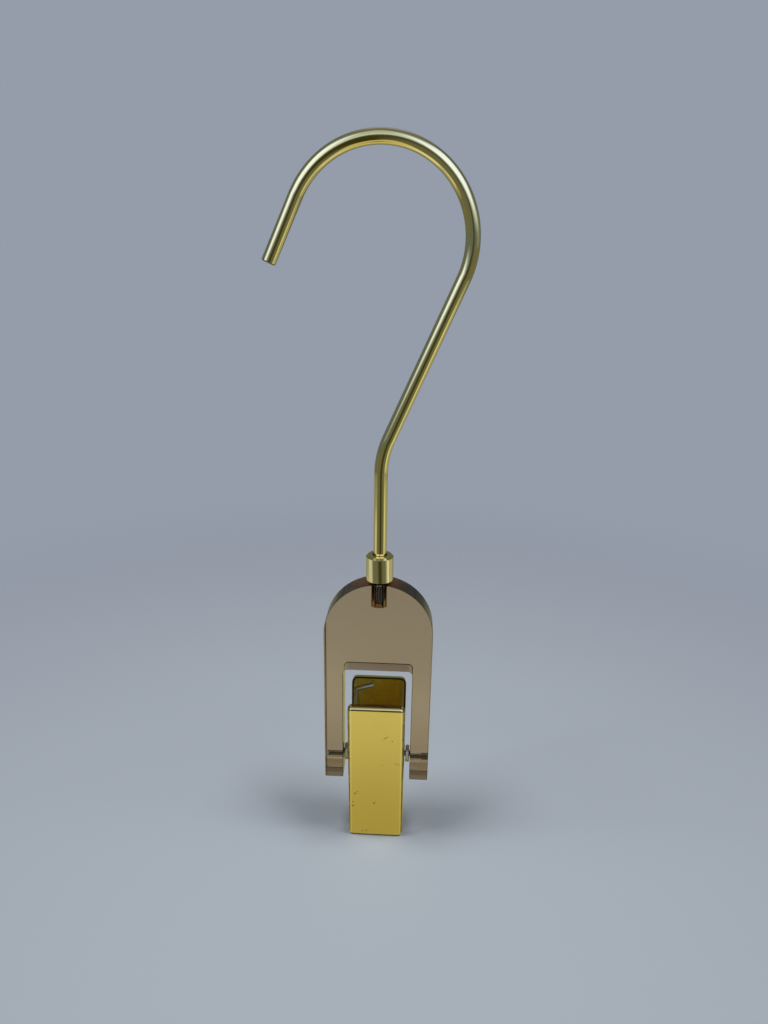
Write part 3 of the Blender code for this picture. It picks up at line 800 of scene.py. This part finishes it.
def front_marks(make, link, place, base):
    """Painted shade on the rolled edges, a painted highlight beside them, the darker cut edge, and the scuffs of the
    front plate.
    """
    local = plate_place(make, link, place, 0)
    rim, highlight_line, cut = plate_edges(make, link, local)
    # a highlight painted along the line beside the rolled edges
    base = mixed(make, link, highlight_line, base, PAINTED_EDGE_HIGHLIGHT)
    blotches = noise(make, link, place, scale=420, detail=2)
    patchy = ranged(make, link, blotches, 0.30, 0.66, *FRONT_RIM_SHARE)
    base = mixed(make, link, product(make, link, rim, patchy), base, PAINTED_RIM_SHADE)
    # the darker cut edge: partly its bare edge, partly painted shade
    base = mixed(make, link, cut, base, BARE_EDGE_AND_SHADE)
    flat = stretched(make, link, local, (1, 0, 1))
    marks = []
    for x, z, length, width, turn in SCUFFS:
        half_length, half_width = (size * SCUFF_SPREAD / 2000 for size in (length, width))
        mark = place_group(
            make,
            link,
            SCUFF,
            flat,
            Centre=(x / 1000, 0, z / 1000),
            Size=(half_length, SCUFF_DEPTH, half_width),
            Turn=(0, -math.radians(turn), 0),
        )
        marks.append(mark.outputs[0])
    share = product(make, link, greatest(make, link, *marks), SCUFF_SHARE)
    return mixed(make, link, share, base, SCUFF_TONE)


def rear_marks(make, link, place, base):
    """Painted shade on the rolled edges and the cut edge of the rear plate."""
    rim, _, cut = plate_edges(make, link, plate_place(make, link, place, math.pi))
    base = mixed(make, link, product(make, link, rim, REAR_RIM_SHARE), base, PAINTED_RIM_SHADE)
    # painted shade on the rear plate's cut edge
    return mixed(make, link, cut, base, REAR_EDGE_PAINTED_SHADE)


# Acrylic and rubber
def sawn_faces(make, link, place):
    """Shares of the fork's sawn edges apart from bores and feet, of its crown, and of its sides and bevels."""
    across, deep, upward = parts_of(make, link, place)
    depth, aside = maths(make, link, "ABSOLUTE", deep), maths(make, link, "ABSOLUTE", across)
    bevel = FORK_HALF - FORK_BEVEL
    edge = fading(make, link, depth, bevel - BEVEL_STRIP[0], bevel + BEVEL_STRIP[1])
    from_bore = off_axis(make, link, across, deep)
    off_bore = ranged(make, link, from_bore, BORE_REACH, BORE_REACH + BORE_SOFT)
    from_pin = off_axis(make, link, deep, maths(make, link, "SUBTRACT", upward, PIN.z))
    off_pin = ranged(make, link, from_pin, PIN_HOLE_REACH, PIN_HOLE_REACH + PIN_HOLE_SOFT)
    off_sole = ranged(make, link, upward, *(FORK_FOOT_Z + height for height in SOLE_STRIP))
    sawn = product(make, link, edge, off_bore, off_pin, off_sole)
    rise = maths(make, link, "SUBTRACT", upward, CROWN_Z - FORK_SIDE)
    out = off_axis(make, link, across, greatest(make, link, rise, 0.0))
    outside = ranged(make, link, out, *(FORK_SIDE - inset for inset in OUTER_STRIP))
    off_window = maths(make, link, "ABSOLUTE", maths(make, link, "SUBTRACT", aside, WINDOW_HALF))
    inside = fading(make, link, off_window, *INNER_STRIP)
    arch = ranged(make, link, rise, -ARCH_STRIP[0], ARCH_STRIP[1])
    straight = product(make, link, outside, maths(make, link, "SUBTRACT", 1.0, arch))
    sides = product(make, link, sawn, greatest(make, link, straight, inside))
    bevels = within(make, link, depth, bevel, FORK_HALF - BEVEL_EDGE, BEVEL_SOFT)
    crown = product(make, link, sawn, outside, arch)
    return sawn, crown, greatest(make, link, sides, bevels)


def shade_legs(make, link, place, base):
    """Painted shade darkens the legs towards their feet, and most of all on their front below the pin."""
    _, deep, upward = parts_of(make, link, place)
    low = fading(make, link, upward, PIN.z, PIN.z + LEG_SHADE_TOP)
    foot = FORK_FOOT_Z + LEG_END_FOOT
    off_foot = ranged(make, link, upward, foot - LEG_FOOT_SOFT, foot)
    base = mixed(make, link, product(make, link, low, off_foot), base, LEG_PAINTED_SHADE)
    end = within(make, link, upward, foot, FORK_FOOT_Z + LEG_END_TOP, LEG_END_SOFT)
    front = fading(make, link, deep, -LEG_FRONT, LEG_FRONT)
    return mixed(make, link, product(make, link, end, front), base, LEG_END_PAINTED_SHADE)


def acrylic_finish():
    """Clear acrylic with a bronze tint that deepens with thickness, rougher sawn edges, and painted shade on its
    sides, bevels, crown and legs.
    """
    finish, make, link, shader = new_finish("bronze acrylic")
    place = object_place(make)
    shader.inputs["IOR"].default_value = 1.49
    shader.inputs["Coat Tint"].default_value = EDGE_PAINTED_SHADE
    shader.inputs["Coat IOR"].default_value = 1.2
    shader.inputs["Coat Roughness"].default_value = 0.2
    shader.inputs["Transmission Weight"].default_value = 1
    lines = place_group(make, link, SCRATCHES, place, Density=0.5)
    sawn, crown, edge_shade = sawn_faces(make, link, place)
    drawn = stretched(make, link, place, (1, 0.06, 1))
    saw_lines = noise(make, link, drawn, scale=1500, detail=3)
    dull = product(make, link, sawn, ranged(make, link, saw_lines, 0.3, 0.7, to_low=0.15, to_high=0.21))
    scratched = product(make, link, lines.outputs["Mask"], 0.10)
    link.new(maths(make, link, "ADD", dull, scratched), shader.inputs["Roughness"])
    # the coat's tint is painted shade on the fork's sides and bevels
    link.new(edge_shade, shader.inputs["Coat Weight"])
    # the crown's band is darkened as painted shade
    crown_shaded = mixed(make, link, crown, CLEAR, CROWN_PAINTED_SHADE)
    link.new(shade_legs(make, link, place, crown_shaded), shader.inputs["Base Color"])
    height = maths(make, link, "ADD", lines.outputs["Height"], product(make, link, sawn, saw_lines))
    bumped(make, link, shader, height, distance=0.000002, strength=0.3)
    tint = make.new("ShaderNodeVolumeAbsorption")
    tint.inputs["Color"].default_value = BRONZE
    tint.inputs["Density"].default_value = BRONZE_DENSITY
    link.new(tint.outputs[0], make["Material Output"].inputs["Volume"])
    return finish


def rubber_finish():
    """Dark grained rubber."""
    finish, make, link, shader = new_finish("pad rubber")
    grain = noise(make, link, object_place(make), scale=2600, detail=4, rough=0.6)
    link.new(mixed(make, link, grain, *RUBBER_TONES), shader.inputs["Base Color"])
    link.new(ranged(make, link, grain, 0.3, 0.7, to_low=0.6, to_high=0.85), shader.inputs["Roughness"])
    bumped(make, link, shader, grain, distance=0.00004, strength=0.5)
    return finish


# Shaping the machined nodes
def weld_tree():
    """Joins a node's faces at their edges and shades them round, apart from edges over the crease angle."""
    tree = bpy.data.node_groups.new("weld and crease", "GeometryNodeTree")
    tree.interface.new_socket("Geometry", in_out="INPUT", socket_type="NodeSocketGeometry")
    angle = tree.interface.new_socket("Crease", in_out="INPUT", socket_type="NodeSocketFloat")
    angle.default_value = math.radians(CREASE)
    tree.interface.new_socket("Geometry", in_out="OUTPUT", socket_type="NodeSocketGeometry")
    make, link = tree.nodes, tree.links
    start = make.new("NodeGroupInput")
    end = make.new("NodeGroupOutput")
    weld = make.new("GeometryNodeMergeByDistance")
    weld.inputs["Distance"].default_value = WELD_GAP
    clear = make.new("GeometryNodeRemoveAttribute")
    clear.inputs["Name"].default_value = "custom_normal"
    smooth = make.new("GeometryNodeSetShadeSmooth")
    smooth.domain = "FACE"
    smooth.inputs["Shade Smooth"].default_value = True
    corner = make.new("GeometryNodeInputMeshEdgeAngle")
    over = make.new("FunctionNodeCompare")
    over.operation = "GREATER_THAN"
    crease = make.new("GeometryNodeSetShadeSmooth")
    crease.domain = "EDGE"
    crease.inputs["Shade Smooth"].default_value = False
    chain = [start, weld, clear, smooth, crease, end]
    for before, after in zip(chain, chain[1:]):
        link.new(before.outputs["Geometry"], after.inputs["Geometry"])
    link.new(corner.outputs["Unsigned Angle"], over.inputs[0])
    link.new(start.outputs["Crease"], over.inputs[1])
    link.new(over.outputs["Result"], crease.inputs["Selection"])
    return tree


def dress(name, finish):
    """Gives a machined node its finish and round shading, with its flats shaded flat."""
    node = nodes[name]
    step = node.modifiers.new("weld and crease", "NODES")
    step.node_group = WELD
    flats = node.modifiers.new("flat faces stay flat", "WEIGHTED_NORMAL")
    flats.keep_sharp = True
    for slot in node.material_slots:
        slot.material = finish


# The torsion spring
def swept_wire(name, route, radius):
    """A round wire along a route, with slightly rounded ends, as an object of its own."""
    along = [(after - before).normalized() for before, after in zip(route, route[1:])]
    tangents = [along[0], *[(a + b).normalized() for a, b in zip(along, along[1:])], along[-1]]
    across = tangents[0].orthogonal().normalized()
    stations = []
    for point, tangent in zip(route, tangents):
        across = (across - tangent * across.dot(tangent)).normalized()
        stations.append((point, tangent, across, radius))
    end_round = radius * WIRE_END_ROUND
    first, last = stations[0], stations[-1]
    stations[0] = (first[0] + first[1] * end_round, *first[1:])
    stations[-1] = (last[0] - last[1] * end_round, *last[1:])
    stations.insert(0, (*first[:3], radius - end_round))
    stations.append((*last[:3], radius - end_round))
    points, faces = [], []
    for point, tangent, side, reach in stations:
        other = tangent.cross(side)
        for step in range(WIRE_SIDES):
            angle = 2 * math.pi * step / WIRE_SIDES
            points.append(point + (side * math.cos(angle) + other * math.sin(angle)) * reach)
    for ring in range(len(stations) - 1):
        for step in range(WIRE_SIDES):
            ahead = (step + 1) % WIRE_SIDES
            low, high = ring * WIRE_SIDES, (ring + 1) * WIRE_SIDES
            faces.append((low + step, low + ahead, high + ahead, high + step))
    faces.append(tuple(reversed(range(WIRE_SIDES))))
    faces.append(tuple(range(len(points) - WIRE_SIDES, len(points))))
    mesh = bpy.data.meshes.new(name)
    mesh.from_pydata(points, [], faces)
    mesh.shade_smooth()
    mesh.set_sharp_from_angle(angle=math.radians(WIRE_SHARP))
    piece = bpy.data.objects.new(name, mesh)
    bpy.context.scene.collection.objects.link(piece)
    return piece


# The spring's front leg is its rear one turned half round the upright
HALF_ROUND = Matrix.Rotation(math.pi, 3, "Z")


def on_coil(along, angle):
    """A point of the coil, this far along the pin and at this angle round it."""
    return Vector((along, COIL_RADIUS * math.cos(angle), COIL_RADIUS * math.sin(angle)))


def spring_shape():
    """The spring's rear leg, from its foot to the coil, and its coil, about the pin."""
    corner, foot_end = Vector(LEG_CORNER), Vector(FOOT_END)
    reach = math.hypot(corner.y, corner.z)
    leave = math.atan2(corner.z, corner.y) - math.acos(COIL_RADIUS / reach)
    onto_coil = on_coil(-COIL_END, leave)
    to_foot = (foot_end - corner).normalized() * FOOT_BEND
    to_coil = (onto_coil - corner).normalized() * FOOT_BEND
    leg = [foot_end]
    for step in range(BEND_STEPS + 1):
        share = step / BEND_STEPS
        leg.append(corner + to_foot * (1 - share) ** 2 + to_coil * share**2)
    leg_end = onto_coil - to_coil.normalized() * LEG_IN_COIL
    leg.append(leg_end)
    sweep = COIL_TURNS * 2 * math.pi - (math.pi - 2 * leave)
    steps = math.ceil(sweep / (2 * math.pi) * STEPS_PER_TURN)
    coil = [leg_end]
    for step in range(steps + 1):
        share = step / steps
        coil.append(on_coil(COIL_END * (2 * share - 1), leave - sweep * share))
    coil.append(HALF_ROUND @ leg_end)
    return leg, coil


def make_spring(finish):
    """Two legs that follow the clip's halves, and a coil between them."""
    leg, coil = spring_shape()
    radius = SPRING_WIRE / 2
    rear = swept_wire("spring_rear_leg", [PIN + point for point in leg], radius)
    front = swept_wire("spring_front_leg", [PIN + HALF_ROUND @ point for point in leg], radius)
    middle = swept_wire("spring_coil", [PIN + point for point in coil], radius)
    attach(rear, "rear_half")
    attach(front, "front_half")
    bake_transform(middle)
    for piece in (rear, front, middle):
        piece.data.materials.append(finish)
        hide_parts("torsion_spring")


place_camera()
set_studio()
WELD = weld_tree()
TONE = tone_group()
SCRATCHES = scratch_group()
SPECKS = speck_group()
SCUFF = scuff_group()

wire_gold = metal_finish("wire gold", (0.84, 0.70, 0.33), (0.81, 0.70, 0.37), 0.11, extra=wire_ends)
collar_gold = metal_finish("collar gold", (0.85, 0.74, 0.45), (0.82, 0.74, 0.50), 0.16, extra=collar_marks)
# The two plates share one plating: the front plate's is given a lighter, paler tone and the rear plate's a darker
# one, as painted light and shade.
front_gold = metal_finish(
    "front plate gold",
    (0.88, 0.715, 0.285),
    (0.85, 0.705, 0.32),
    0.19,
    density=0.3,
    speck_share=0.08,
    extra=front_marks,
)
rear_gold = metal_finish(
    "rear plate gold",
    (0.83, 0.67, 0.20),
    (0.79, 0.66, 0.25),
    0.22,
    density=0.15,
    extra=rear_marks,
)
spring_steel = metal_finish("spring steel", (0.52, 0.525, 0.41), (0.46, 0.465, 0.37), 0.34, density=0.15)
spacer_steel = metal_finish("spacer steel", (0.66, 0.60, 0.46), (0.72, 0.66, 0.52), 0.60)
insert_steel = metal_finish("insert steel", (0.030, 0.026, 0.024), (0.06, 0.05, 0.045), 0.30, extra=insert_marks)
pin_steel = metal_finish("pin steel", (0.04, 0.038, 0.028), (0.07, 0.065, 0.045), 0.26)
rubber = rubber_finish()
dress("hook_wire", wire_gold)
dress("collar", collar_gold)
dress("swivel_insert", insert_steel)
dress("fork", acrylic_finish())
dress("pivot_pin", pin_steel)
dress("spacer_left", spacer_steel)
dress("spacer_right", spacer_steel)
dress("front_jaw", front_gold)
dress("rear_jaw", rear_gold)
dress("front_pad", rubber)
dress("rear_pad", rubber)
make_spring(spring_steel)

scene = bpy.context.scene
scene.view_settings.view_transform = "Standard"
bpy.context.view_layer.update()
